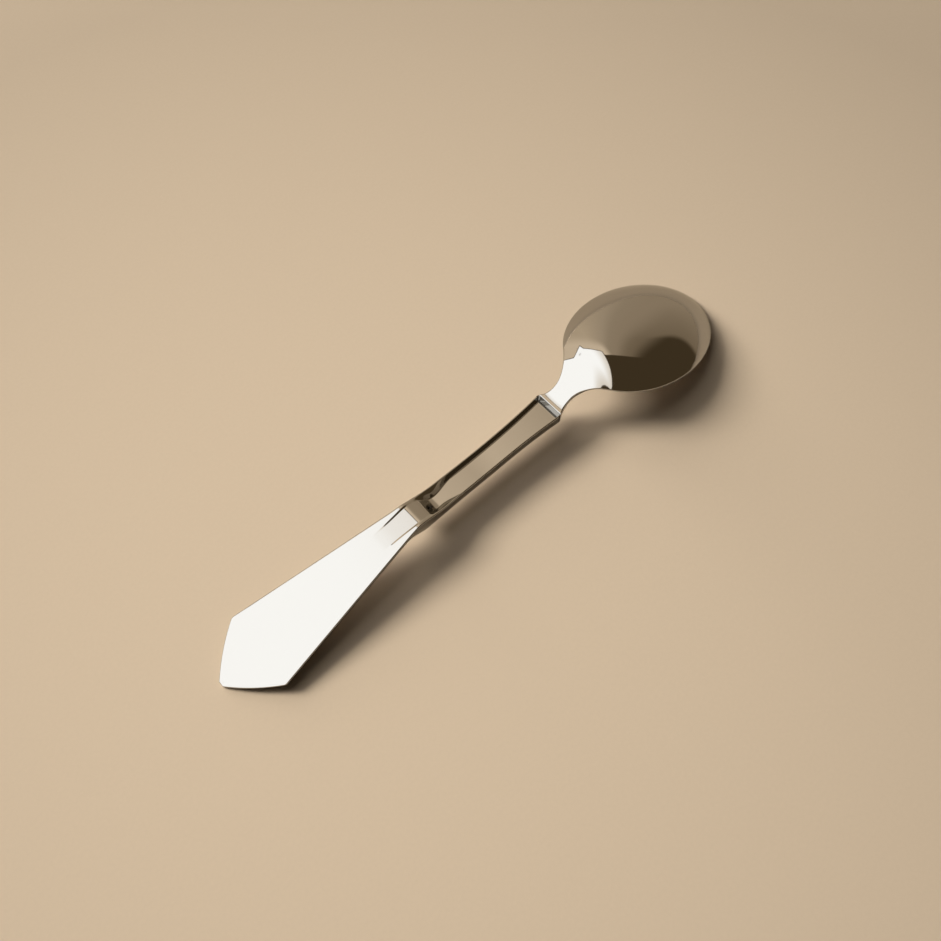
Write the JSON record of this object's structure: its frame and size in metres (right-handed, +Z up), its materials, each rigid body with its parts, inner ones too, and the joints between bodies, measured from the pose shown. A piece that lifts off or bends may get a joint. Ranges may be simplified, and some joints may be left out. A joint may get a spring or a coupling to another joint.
{
  "type": "dinner spoon",
  "caption": "Polished steel table spoon with a kite-shaped handle end, a channelled stem, a narrow neck and an oval bowl, lying on its face.",
  "frame": {"origin": "on the ground under the middle of the spoon, lying face down on its handle tip and the front of its bowl", "axes": "+X from the handle tip to the front of the bowl, +Y across the spoon, +Z up, out of the back"},
  "size_m": [0.195, 0.0404, 0.0197],
  "materials": {
    "polished_steel": "mirror-polished stainless steel with fine wiping marks"
  },
  "bodies": {
    "root": {"spoon": "polished_steel"}
  },
  "joints": []
}
